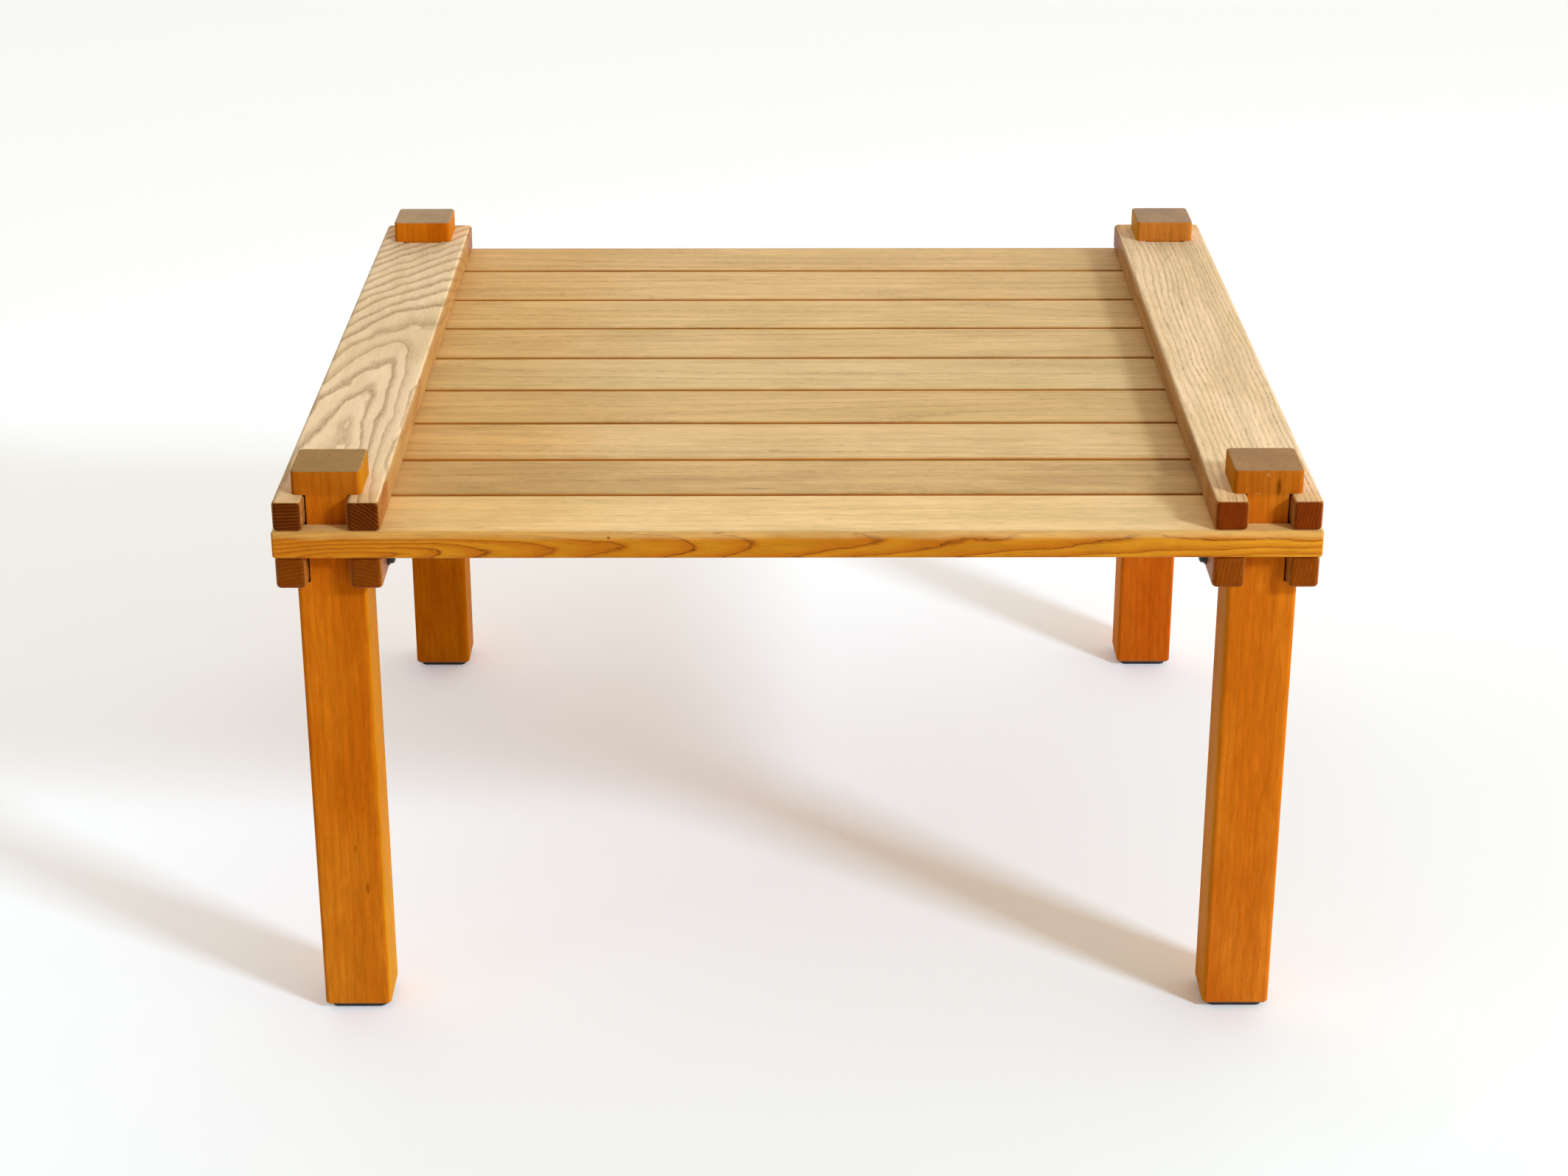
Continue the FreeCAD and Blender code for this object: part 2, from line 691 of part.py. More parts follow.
def main():
    doc = FreeCAD.newDocument("low_table")
    make_sheets(doc)
    make_deck(doc)
    make_battens(doc)
    make_legs(doc)
    groups = [make_screws(doc, side) for side in SIDES]
    doc.recompute()
    bodies = [item for item in doc.Objects if item.TypeId == "PartDesign::Body"]
    write_parts(doc, bodies + groups)


main()
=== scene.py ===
"""Finishes and studio for a knock-down slatted low table of oiled ash."""

import math

import bpy
from mathutils import Matrix, Vector


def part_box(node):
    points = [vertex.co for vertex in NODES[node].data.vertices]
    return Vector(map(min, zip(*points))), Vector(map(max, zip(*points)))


bl_info = {
    "name": "Slatted Low Table",
    "version": (1, 0, 0),
    "blender": (4, 5, 0),
    "location": "View3D > Sidebar > Low Table",
    "description": "Wood, metal and rubber finishes for a slatted low table, and a plain studio for it",
    "category": "Object",
}

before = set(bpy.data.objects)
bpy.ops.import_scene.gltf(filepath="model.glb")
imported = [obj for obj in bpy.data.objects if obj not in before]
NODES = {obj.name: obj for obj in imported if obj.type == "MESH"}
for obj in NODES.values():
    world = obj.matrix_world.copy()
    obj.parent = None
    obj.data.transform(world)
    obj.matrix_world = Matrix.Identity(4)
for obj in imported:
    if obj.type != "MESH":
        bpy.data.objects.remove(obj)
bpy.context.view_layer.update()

SIDES = ("left", "right")
ENDS = ("front", "rear")
CORNERS = tuple(f"{end}_{side}" for end in ENDS for side in SIDES)


# Colours

WHITE = (1.0, 1.0, 1.0, 1.0)


def screen(red, green, blue):
    """A colour as it looks on a screen, from 0 to 255 a channel, in the linear values that shaders take."""
    linear = []
    for value in (red, green, blue):
        share = value / 255
        linear.append(share / 12.92 if share <= 0.04045 else ((share + 0.055) / 1.055) ** 2.4)
    return (*linear, 1.0)


def tinted(colour, red, green, blue):
    """A colour with so much of its red, green and blue."""
    return (*(min(1.0, channel * share) for channel, share in zip(colour, (red, green, blue))), 1.0)


def scaled(colour, share):
    """A colour made lighter or darker."""
    return tinted(colour, share, share, share)


def colour_property(name, description, red, green, blue):
    """A colour that a user can change, given as it looks on a screen."""
    return bpy.props.FloatVectorProperty(
        name=name, description=description, subtype="COLOR", size=4, min=0.0, max=1.0,
        default=screen(red, green, blue),
    )


# Shader trees


class Tree:
    """A node tree, with a short way to add each kind of node that the finishes use."""

    def __init__(self, tree):
        self.tree = tree

    def feed(self, socket, value):
        """Links a socket to another one, or sets it to a plain value."""
        if isinstance(value, bpy.types.NodeSocket):
            self.tree.links.new(value, socket)
        else:
            socket.default_value = value

    def node(self, kind, inputs=None, **settings):
        made = self.tree.nodes.new(kind)
        for key, value in settings.items():
            setattr(made, key, value)
        for key, value in (inputs or {}).items():
            self.feed(made.inputs[key], value)
        return made

    def math(self, operation, first, second=0.0, clamp=False):
        inputs = {0: first, 1: second}
        return self.node("ShaderNodeMath", inputs, operation=operation, use_clamp=clamp).outputs[0]

    def vector(self, operation, *vectors, output="Vector"):
        made = self.node("ShaderNodeVectorMath", dict(enumerate(vectors)), operation=operation)
        return made.outputs[output]

    def split(self, vector):
        return self.node("ShaderNodeSeparateXYZ", {0: vector}).outputs

    def join(self, x, y, z):
        return self.node("ShaderNodeCombineXYZ", {0: x, 1: y, 2: z}).outputs[0]

    def even(self, value):
        """A vector or a grey that has the same value three times."""
        return self.join(value, value, value)

    def noise(self, place, fineness, detail=2.0, roughness=0.5):
        """A noise with about so many waves a metre along each axis."""
        place = self.vector("MULTIPLY", place, fineness)
        inputs = {"Vector": place, "Scale": 1.0, "Detail": detail, "Roughness": roughness}
        return self.node("ShaderNodeTexNoise", inputs).outputs

    def ramp(self, value, low, high, to_low=0.0, to_high=1.0):
        """Goes smoothly from one value to another while the input goes from low to high."""
        inputs = {"Value": value, "From Min": low, "From Max": high, "To Min": to_low, "To Max": to_high}
        return self.node("ShaderNodeMapRange", inputs, interpolation_type="SMOOTHSTEP").outputs["Result"]

    def mix(self, share, first, second, blend="MIX"):
        """A colour mix. The node's sockets 6, 7 and 2 are its colours A, B and Result."""
        inputs = {0: share, 6: first, 7: second}
        made = self.node("ShaderNodeMix", inputs, data_type="RGBA", blend_type=blend, clamp_factor=True)
        return made.outputs[2]

    def group(self, name, inputs):
        """Places a shared node group, which is built when it is first asked for."""
        shared = bpy.data.node_groups.get(name) or GROUP_BUILDERS[name](name)
        return self.node("ShaderNodeGroup", inputs, node_tree=shared).outputs


def new_group(name, vectors, numbers, masks):
    """An empty node group: its tree, its named inputs and the sockets that its masks go to."""
    group = bpy.data.node_groups.new(name, "ShaderNodeTree")
    for kind, sockets in (("Vector", vectors), ("Float", numbers)):
        for socket in sockets:
            group.interface.new_socket(socket, in_out="INPUT", socket_type=f"NodeSocket{kind}")
    for socket in masks:
        group.interface.new_socket(socket, in_out="OUTPUT", socket_type="NodeSocketFloat")
    tree = Tree(group)
    return tree, tree.node("NodeGroupInput").outputs, tree.node("NodeGroupOutput").inputs


# How fine the wood's patterns are, in waves a metre along the grain, across it and through it
WAVES = (16.0, 34.0, 34.0)
RING_EDGES = (90.0, 170.0, 170.0)
PORE_DASHES = (130.0, 800.0, 800.0)
LONE_PORES = (60.0, 1300.0, 1300.0)
FIBRES = (45.0, 380.0, 380.0)
STREAKS = (3.0, 110.0, 110.0)
CLOUDS = (7.0, 26.0, 26.0)

SEED_STEP = (3.1, 5.7, 9.3)
WANDER_ACROSS = 4.0
RISE_SHARE = 0.35
FAINTEST_RING = 0.45
LONE_PORE_SHARE = 0.5


def build_grain(name):
    """Growth rings, pores and fibres of a ring-porous wood. The vector's X runs along the grain, in metres."""
    tree, given, out = new_group(
        name,
        vectors=("Vector", "Heart", "Heart Slope", "Heart Bend"),
        numbers=("Oval", "Oval Slope", "Ring Radius", "Ring Width", "Ring Crowding", "Wander", "Wander Scale",
                 "Waviness", "Raggedness", "Porous Share", "Seed"),
        masks=("Line", "Body", "Late", "Pores", "Fibres", "Streaks", "Clouds"),
    )
    place = tree.vector("ADD", given["Vector"], tree.vector("MULTIPLY", SEED_STEP, tree.even(given["Seed"])))

    def shift(noise, amount):
        """A move to and fro that follows a noise."""
        centred = tree.vector("SUBTRACT", noise["Color"], (0.5, 0.5, 0.5))
        return tree.vector("MULTIPLY", centred, tree.even(given[amount]))

    across = tree.math("MULTIPLY", given["Wander Scale"], WANDER_ACROSS)
    wander = shift(tree.noise(place, tree.join(given["Wander Scale"], across, across)), "Wander")
    waves = shift(tree.noise(place, WAVES, detail=1.0), "Waviness")
    edges = shift(tree.noise(place, RING_EDGES, detail=3.0, roughness=0.6), "Raggedness")
    moved = tree.vector("ADD", tree.vector("ADD", given["Vector"], wander), tree.vector("ADD", edges, waves))

    along = tree.split(given["Vector"])[0]
    heart = given["Heart"]
    for path, distance in (("Heart Slope", along), ("Heart Bend", tree.math("MULTIPLY", along, along))):
        heart = tree.vector("ADD", heart, tree.vector("MULTIPLY", given[path], tree.even(distance)))
    offset = tree.split(tree.vector("SUBTRACT", moved, heart))
    oval = tree.math("ADD", given["Oval"], tree.math("MULTIPLY", given["Oval Slope"], along))
    oval_side = tree.math("MULTIPLY", tree.math("MINIMUM", offset[1], 0.0), oval)
    sideways = tree.math("ADD", tree.math("MAXIMUM", offset[1], 0.0), oval_side)
    radius = tree.vector("LENGTH", tree.join(0.0, sideways, offset[2]), output="Value")

    grown = tree.math("POWER", tree.math("DIVIDE", radius, given["Ring Radius"]), given["Ring Crowding"])
    spacing = tree.math("MULTIPLY", given["Ring Width"], given["Ring Crowding"])
    count = tree.math("MULTIPLY", grown, tree.math("DIVIDE", given["Ring Radius"], spacing))
    phase = tree.math("FRACT", count)
    ring = tree.node("ShaderNodeTexWhiteNoise", {"W": tree.math("FLOOR", count)}, noise_dimensions="1D")
    fading = tree.ramp(phase, 0.0, given["Porous Share"], 1.0, 0.0)
    start = tree.math("SUBTRACT", 1.0, tree.math("MULTIPLY", given["Porous Share"], RISE_SHARE))
    rising = tree.ramp(phase, start, 1.0)
    strength = tree.ramp(ring.outputs["Value"], 0.0, 1.0, FAINTEST_RING, 1.0)
    line = tree.math("MULTIPLY", tree.math("MAXIMUM", fading, rising), strength)
    tree.feed(out["Line"], line)
    tree.feed(out["Body"], tree.math("MAXIMUM", tree.ramp(phase, 0.0, 0.9, 1.0, 0.0), rising))
    early = tree.ramp(phase, 0.0, 0.25, 1.0, 0.0)
    tree.feed(out["Late"], tree.math("MAXIMUM", tree.ramp(phase, 0.3, 1.0), early))

    dashes = tree.noise(place, PORE_DASHES, detail=1.0)["Fac"]
    lone = tree.noise(place, LONE_PORES, detail=1.0)["Fac"]
    in_line = tree.math("MULTIPLY", tree.ramp(dashes, 0.50, 0.66), line)
    between = tree.math("MULTIPLY", tree.ramp(lone, 0.60, 0.74), LONE_PORE_SHARE)
    tree.feed(out["Pores"], tree.math("MAXIMUM", in_line, between))
    tree.feed(out["Fibres"], tree.noise(place, FIBRES, detail=5.0, roughness=0.7)["Fac"])
    tree.feed(out["Streaks"], tree.noise(place, STREAKS, detail=3.0, roughness=0.6)["Fac"])
    tree.feed(out["Clouds"], tree.noise(place, CLOUDS, detail=4.0, roughness=0.62)["Fac"])
    return tree.tree


# How far a face turns towards an axis before it counts as an end or a side, and when it is wholly one
END_TURN = (0.55, 0.85)
SIDE_TURN = (0.4, 0.9)


def build_faces(name):
    """Masks for the faces of a piece: those that look up, those that end the grain and those on one side."""
    tree, given, out = new_group(
        name, vectors=("Normal", "Grain Axis", "Side Axis"), numbers=("Bleach From", "Bleach To"),
        masks=("Up", "End", "Side"),
    )
    up = tree.split(given["Normal"])[2]
    tree.feed(out["Up"], tree.ramp(up, given["Bleach From"], given["Bleach To"]))
    along = tree.vector("DOT_PRODUCT", given["Normal"], given["Grain Axis"], output="Value")
    tree.feed(out["End"], tree.ramp(tree.math("ABSOLUTE", along), *END_TURN))
    side = tree.vector("DOT_PRODUCT", given["Normal"], given["Side Axis"], output="Value")
    tree.feed(out["Side"], tree.ramp(side, *SIDE_TURN))
    return tree.tree


STAIN_EDGE = (30.0, 30.0, 30.0)
MARK_EDGE = (400.0, 400.0, 400.0)


def build_stain(name):
    """A stain that starts at a distance from a middle point and is full a little further out."""
    tree, given, out = new_group(
        name, vectors=("Vector", "Middle", "Clear", "Reach"), numbers=("Ragged",), masks=("Mask",),
    )
    away = tree.vector("ABSOLUTE", tree.vector("SUBTRACT", given["Vector"], given["Middle"]))
    away = tree.split(tree.vector("DIVIDE", tree.vector("SUBTRACT", away, given["Clear"]), given["Reach"]))
    most = tree.math("MAXIMUM", tree.math("MAXIMUM", away[0], away[1]), away[2])
    cloud = tree.noise(given["Vector"], STAIN_EDGE, detail=3.0)["Fac"]
    rough = tree.math("MULTIPLY", tree.math("SUBTRACT", cloud, 0.5), given["Ragged"])
    tree.feed(out["Mask"], tree.ramp(tree.math("ADD", most, rough), 0.0, 1.0))
    return tree.tree


def build_mark(name):
    """A soft oval mark: a mask that is 1 at its middle and 0 outside its size."""
    tree, given, out = new_group(
        name, vectors=("Vector", "Place", "Size"), numbers=("Softness", "Ragged"), masks=("Mask",),
    )
    cloud = tree.noise(given["Vector"], MARK_EDGE)["Fac"]
    rough = tree.math("MULTIPLY", tree.math("SUBTRACT", cloud, 0.5), given["Ragged"])
    away = tree.vector("DIVIDE", tree.vector("SUBTRACT", given["Vector"], given["Place"]), given["Size"])
    distance = tree.math("ADD", tree.vector("LENGTH", away, output="Value"), rough)
    inner = tree.math("SUBTRACT", 1.0, given["Softness"])
    tree.feed(out["Mask"], tree.ramp(distance, inner, 1.0, 1.0, 0.0))
    return tree.tree


GROUP_BUILDERS = {"Wood Grain": build_grain, "Faces": build_faces, "Stain": build_stain, "Mark": build_mark}


# Finishes


def new_material(name):
    """An empty material with its tree and its shader."""
    made = bpy.data.materials.new(name)
    made.use_nodes = True
    made.node_tree.nodes.clear()
    tree = Tree(made.node_tree)
    return made, tree, tree.node("ShaderNodeBsdfPrincipled")


def dress(node, material):
    """Gives every face of a CAD node the same material."""
    mesh = NODES[node].data
    mesh.materials.clear()
    mesh.materials.append(material)


def figure(heart, slope, width, seed, bend=(0.0, 0.0), oval=1.0, oval_slope=0.0, radius=0.06, crowding=1.0,
           wander=0.006, scale=2.0, waves=0.0, ragged=0.0006, porous=0.4, end_heart=None, end_width=0.003):
    """How a piece lies in its log: heart is the pith's place across the grain, slope and bend its path."""
    heart = (0.0, *heart)
    return {
        "Heart": heart, "Heart Slope": (0.0, *slope), "Heart Bend": (0.0, *bend), "Oval": oval,
        "Oval Slope": oval_slope, "Ring Radius": radius, "Ring Width": width, "Ring Crowding": crowding,
        "Wander": wander, "Wander Scale": scale, "Waviness": waves, "Raggedness": ragged,
        "Porous Share": porous, "Seed": seed,
        "End Heart": (0.0, *end_heart) if end_heart else heart, "End Width": end_width,
    }


CALM_END_WANDER = 0.3


def cut_with_ends(tree, cut, end_mask):
    """A figure's values, with the end faces cut from their own place in the log and with calmer rings."""
    values = dict(cut)
    end_heart, end_width = values.pop("End Heart"), values.pop("End Width")
    on_end = tree.math("GREATER_THAN", end_mask, 0.5)
    off_end = tree.math("SUBTRACT", 1.0, on_end)
    move = tuple(there - here for here, there in zip(cut["Heart"], end_heart))
    values["Heart"] = tree.vector("ADD", cut["Heart"], tree.vector("MULTIPLY", tree.even(on_end), move))
    wider = tree.math("MULTIPLY", on_end, end_width - cut["Ring Width"])
    values["Ring Width"] = tree.math("ADD", cut["Ring Width"], wider)
    values["Wander"] = tree.math("MULTIPLY", tree.math("ADD", CALM_END_WANDER, off_end), cut["Wander"])
    for key in ("Waviness", "Raggedness"):
        values[key] = tree.math("MULTIPLY", off_end, cut[key])
    return values


def beyond(axis, middle, clear, reach, ragged=0.8):
    """Where a stain lies: it starts so far to each side of a plane across the axis, and grows over its reach."""

    def along_axis(value, elsewhere):
        return tuple(value if name == axis else elsewhere for name in "xyz")

    return {"Middle": along_axis(middle, 0.0), "Clear": along_axis(clear, 1.0),
            "Reach": along_axis(reach, 1.0), "Ragged": ragged}


def mark(place, size, colour, share, ragged=0.6):
    """A small oval mark on a piece, such as a knot, a nick or a dark pore."""
    return {"Place": place, "Size": size, "Softness": 0.8, "Ragged": ragged}, colour, share


# The object's axes that run along the grain, across it and through it, for each way that a piece can lie
GRAIN_ORDER = {"x": (0, 1, 2), "y": (1, 0, 2), "z": (2, 0, 1)}

# The grain's masks that change the colour of each kind of face, by the palette's word for what they bring
LAYERS = {
    "amber": {"body": "Late", "line": "Line", "pore": "Pores"},
    "pale": {"body": "Body", "line": "Line", "pore": "Pores"},
    "end": {"line": "Line", "pore": "Pores"},
}

# The noise values between which clouds, and fibres and streaks, go from one tone to the other
CLOUD_SPREAD = (0.38, 0.62)
FIBRE_SPREAD = (0.3, 0.7)

BORDER_SHARE = 0.7
PORE_ROUGHNESS = 0.2
FIBRE_HEIGHT = 0.5
RING_DEPTH = 0.35
WOOD_RELIEF = 0.0003


def wood(name, grain_axis, cut, palette, marks=()):
    """A wood finish. The cut is a figure that says how the piece lies in its log, the palette how it is coloured."""
    made, tree, shader = new_material(name)
    coordinates = tree.node("ShaderNodeTexCoord").outputs
    place = coordinates["Object"]
    faces = tree.group("Faces", {
        "Normal": coordinates["Normal"], "Grain Axis": tuple(float(axis == grain_axis) for axis in "xyz"),
        "Side Axis": palette["side_axis"], "Bleach From": palette["bleach_from"],
        "Bleach To": palette["bleach_to"],
    })
    axes = tree.split(place)
    ordered = tree.join(*(axes[index] for index in GRAIN_ORDER[grain_axis]))
    grain = tree.group("Wood Grain", {"Vector": ordered, **cut_with_ends(tree, cut, faces["End"])})

    def coloured(part, kind):
        """The colour of one part, with the clouds, fibres, rings and pores that its kind of face shows."""
        clouds = tree.ramp(grain["Clouds"], *CLOUD_SPREAD)
        colour = tree.mix(clouds, palette[part], palette[f"{part}_cloud"])
        shade = 1.0
        for pattern, word in (("Fibres", "fibre"), ("Streaks", "streak")):
            change = tree.ramp(grain[pattern], *FIBRE_SPREAD, -1.0, 1.0)
            shade = tree.math("ADD", shade, tree.math("MULTIPLY", change, palette[f"{kind}_{word}"]))
        colour = tree.mix(1.0, colour, tree.even(shade), "MULTIPLY")
        for word, mask in LAYERS[kind].items():
            share = tree.math("MULTIPLY", grain[mask], palette[f"{kind}_{word}_share"])
            colour = tree.mix(share, colour, palette[f"{kind}_{word}"])
        return colour

    def mask_of(group, sockets):
        return tree.group(group, {"Vector": place, **sockets})["Mask"]

    def stained(colour, stains):
        for where, tone in stains:
            colour = tree.mix(1.0, colour, tree.mix(mask_of("Stain", where), WHITE, (*tone, 1.0)), "MULTIPLY")
        return colour

    colour = coloured("amber", "amber")
    if "side" in palette:
        colour = tree.mix(faces["Side"], colour, coloured("side", "amber"))
    colour = stained(colour, palette["amber_stains"])
    if "pale" in palette:
        pale = stained(coloured("pale", "pale"), palette["pale_stains"])
        worn = faces["Up"]
        # The pale border is bleached wear and partly a painted highlight along the rounded edge.
        if "pale_border" in palette:
            border = tree.math("MULTIPLY", mask_of("Stain", palette["pale_border"]), BORDER_SHARE)
            worn = tree.math("MAXIMUM", worn, border)
        colour = tree.mix(worn, colour, pale)
    colour = tree.mix(faces["End"], colour, coloured("end", "end"))
    for where, tone, share in marks:
        colour = tree.mix(tree.math("MULTIPLY", mask_of("Mark", where), share), colour, tone)
    tree.feed(shader.inputs["Base Color"], colour)

    rough = tree.ramp(faces["Up"], 0.0, 1.0, palette["amber_roughness"], palette["pale_roughness"])
    open_pores = tree.math("MULTIPLY", grain["Pores"], PORE_ROUGHNESS)
    tree.feed(shader.inputs["Roughness"], tree.math("ADD", rough, open_pores, clamp=True))
    height = tree.math("SUBTRACT", tree.math("MULTIPLY", grain["Fibres"], FIBRE_HEIGHT), grain["Pores"])
    height = tree.math("SUBTRACT", height, tree.math("MULTIPLY", grain["Line"], RING_DEPTH))
    inputs = {"Height": height, "Strength": palette["relief"], "Distance": WOOD_RELIEF}
    tree.feed(shader.inputs["Normal"], tree.node("ShaderNodeBump", inputs).outputs["Normal"])
    shader.inputs["Specular IOR Level"].default_value = palette["gloss"]
    shader.inputs["Specular Tint"].default_value = palette["sheen"]
    tree.node("ShaderNodeOutputMaterial", {"Surface": shader.outputs[0]})
    return made


def oiled(colours, amber):
    """The palette of a piece that is oiled amber all over, with dark end grain."""
    return {
        "amber": amber, "amber_cloud": tinted(amber, 0.90, 0.85, 0.8),
        "amber_line": colours.amber_grain, "amber_line_share": 0.5,
        "amber_pore": scaled(colours.amber_grain, 0.6), "amber_pore_share": 0.4,
        "amber_body": tinted(amber, 0.88, 0.66, 0.5), "amber_body_share": 0.25,
        "amber_fibre": 0.06, "amber_streak": 0.05, "amber_stains": (),
        "end": colours.batten_end, "end_cloud": scaled(colours.batten_end, 0.8),
        "end_line": colours.batten_end_grain, "end_line_share": 0.5,
        "end_pore": scaled(colours.batten_end, 0.5), "end_pore_share": 0.3,
        "end_fibre": 0.1, "end_streak": 0.05,
        "side_axis": (0.0, 0.0, 0.0), "bleach_from": 2.0, "bleach_to": 3.0,
        "amber_roughness": 0.42, "pale_roughness": 0.42, "gloss": 0.2, "sheen": (1.0, 0.55, 0.12, 1.0),
        "relief": 0.4,
    }


def bleached(colours, pale, amber):
    """The palette of a piece that is bleached on top and amber elsewhere."""
    return {
        **oiled(colours, amber),
        "pale": pale, "pale_cloud": tinted(pale, 0.89, 0.88, 0.82),
        "pale_line": colours.grain, "pale_line_share": 0.14,
        "pale_pore": colours.pores, "pale_pore_share": 0.35,
        "pale_body": colours.grain, "pale_body_share": 0.0,
        "pale_fibre": 0.09, "pale_streak": 0.07, "pale_stains": (),
        "bleach_from": 0.65, "bleach_to": 0.93, "pale_roughness": 0.62, "sheen": (1.0, 0.75, 0.35, 1.0),
        "relief": 0.5,
    }


WEAR_PATCHES = (140.0, 140.0, 140.0)
WORN_LIGHTER = 1.8
PLAIN_RELIEF = 0.0001


def plain_finish(name, colour, roughness, metallic, wear, grit, relief):
    """Metal or rubber with a fine grit in its surface and lighter, worn patches in its colour."""
    made, tree, shader = new_material(name)
    place = tree.node("ShaderNodeTexCoord").outputs["Object"]
    fine = tree.noise(place, (grit, grit, grit), detail=4.0, roughness=0.6)["Fac"]
    patches = tree.noise(place, WEAR_PATCHES, detail=3.0)["Fac"]
    worn = tree.ramp(patches, 0.4, 0.7, 0.0, wear)
    tree.feed(shader.inputs["Base Color"], tree.mix(worn, colour, scaled(colour, WORN_LIGHTER)))
    tree.feed(shader.inputs["Roughness"], tree.ramp(fine, 0.3, 0.7, roughness * 0.85, roughness * 1.15))
    shader.inputs["Metallic"].default_value = metallic
    inputs = {"Height": fine, "Strength": relief, "Distance": PLAIN_RELIEF}
    tree.feed(shader.inputs["Normal"], tree.node("ShaderNodeBump", inputs).outputs["Normal"])
    tree.node("ShaderNodeOutputMaterial", {"Surface": shader.outputs[0]})
    return made


# Values that a user would change


class LowTableWood(bpy.types.PropertyGroup):
    """Colours of the wood, as they look in plain white light, except that the gap colour also paints in shade and
    the leg side colour paints in sheen.
    """

    deck: colour_property("Deck", "Bleached upper faces of the boards", 224, 180, 121)
    batten_left: colour_property(
        "Left Batten", "Bleached upper face of the left upper batten", 242, 208, 168)
    batten_right: colour_property(
        "Right Batten", "Bleached upper face of the right upper batten", 242, 205, 163)
    batten_side: colour_property("Batten Side", "Sides of the upper battens", 186, 138, 79)
    grain: colour_property("Weathered Grain", "Porous rings on bleached faces", 150, 116, 76)
    pores: colour_property("Open Pores", "Dust in the pores of bleached faces", 112, 80, 44)
    amber: colour_property("Amber", "Oiled front edge of the boards", 208, 130, 22)
    amber_grain: colour_property("Amber Grain", "Porous rings on oiled faces", 122, 58, 6)
    # Painted shade: darker than the oiled amber, for the shade inside the narrow gaps between the boards.
    gap: colour_property("Gap", "Sides of the boards inside the gaps", 158, 92, 28)
    lower_batten: colour_property("Lower Batten", "Oiled sides of the lower battens", 176, 106, 40)
    batten_end: colour_property("Batten End", "End grain of the upper battens", 88, 30, 0)
    lower_end: colour_property("Lower Batten End", "End grain of the lower battens", 122, 50, 0)
    batten_end_grain: colour_property(
        "Batten End Grain", "Rings in the end grain of the battens", 150, 84, 24)
    leg: colour_property("Leg", "Oiled faces of the legs", 206, 109, 12)
    # Painted sheen: paler than the leg colour, for the sheen that the inner sides show when seen edge-on.
    leg_side_with_sheen: colour_property("Leg Side", "Inner sides of the legs", 205, 122, 18)
    leg_grain: colour_property("Leg Grain", "Porous rings of the legs", 156, 72, 2)
    head_top: colour_property("Head Top", "Weathered end grain on top of the legs", 155, 114, 74)


class LowTableMetal(bpy.types.PropertyGroup):
    """Colours of the fittings and the foot pads."""

    blackened: colour_property("Blackened Steel", "Draw bolts and washers", 42, 42, 44)
    brass: colour_property("Brass", "Threaded inserts", 196, 160, 90)
    steel: colour_property("Steel", "Wood screws", 178, 174, 164)
    pad: colour_property("Foot Pad", "Pads under the legs", 48, 42, 38)


class LowTableStage(bpy.types.PropertyGroup):
    """The camera, the lamps and the floor."""

    lens: bpy.props.FloatProperty(
        name="Focal Length", description="Of the camera's lens, in millimetres",
        default=69.57, min=10.0, unit="CAMERA",
    )
    camera_place: bpy.props.FloatVectorProperty(
        name="Camera Place", description="Where the camera stands",
        default=(-0.01332, -2.51184, 1.28071), subtype="XYZ", unit="LENGTH",
    )
    camera_turn: bpy.props.FloatVectorProperty(
        name="Camera Turn", description="Downward pitch, turn to the right and roll",
        default=tuple(math.radians(a) for a in (22.877, 0.0814, -0.039)), subtype="EULER", unit="ROTATION",
    )
    key_power: bpy.props.FloatProperty(
        name="Key Lamp", description="Power of the lamp in front on the right",
        default=206.0, min=0.0, unit="POWER",
    )
    key_place: bpy.props.FloatVectorProperty(
        name="Key Lamp Place", description="Middle of the lamp on the right",
        default=(3.40, -3.06, 2.88), subtype="XYZ", unit="LENGTH",
    )
    fill_power: bpy.props.FloatProperty(
        name="Fill Lamp", description="Power of the lamp in front on the left",
        default=3.0, min=0.0, unit="POWER",
    )
    fill_place: bpy.props.FloatVectorProperty(
        name="Fill Lamp Place", description="Middle of the lamp on the left",
        default=(-2.9, -2.0, 2.0), subtype="XYZ", unit="LENGTH",
    )
    lamp_size: bpy.props.FloatProperty(
        name="Lamp Size", description="Width of the lamps' square windows",
        default=0.75, min=0.01, unit="LENGTH",
    )
    ceiling_strength: bpy.props.FloatProperty(
        name="Ceiling", description="Strength of the light from above", default=0.505, min=0.0,
    )
    right_strength: bpy.props.FloatProperty(
        name="Right Wall", description="Strength of the light from low on the right", default=3.2, min=0.0,
    )
    back_strength: bpy.props.FloatProperty(
        name="Back Wall", description="Strength of the light from low at the back", default=4.70, min=0.0,
    )
    floor_light: bpy.props.FloatProperty(
        name="Floor Light", description="How much whiter the floor looks near the key lamp",
        default=0.076, min=0.0,
    )
    floor_glow: bpy.props.FloatProperty(
        name="Floor Glow", description="How much whiter still the far floor looks", default=0.225, min=0.0,
    )
    floor: colour_property("Floor", "Colour of the floor", 243, 243, 243)


# Boards

# How much of the deck's red, green and blue each board's top has, from the front to the back
BOARD_TONES = {
    "slat_front": (1.17, 1.22, 1.32),
    "slat_2": (0.91, 0.87, 0.81),
    "slat_3": (1.02, 1.05, 1.12),
    "slat_4": (0.95, 0.94, 0.90),
    "slat_5": (0.99, 1.06, 1.18),
    "slat_6": (0.99, 1.0, 1.02),
    "slat_7": (1.02, 1.04, 1.06),
    "slat_8": (1.0, 0.99, 0.99),
    "slat_rear": (0.98, 0.96, 0.97),
}

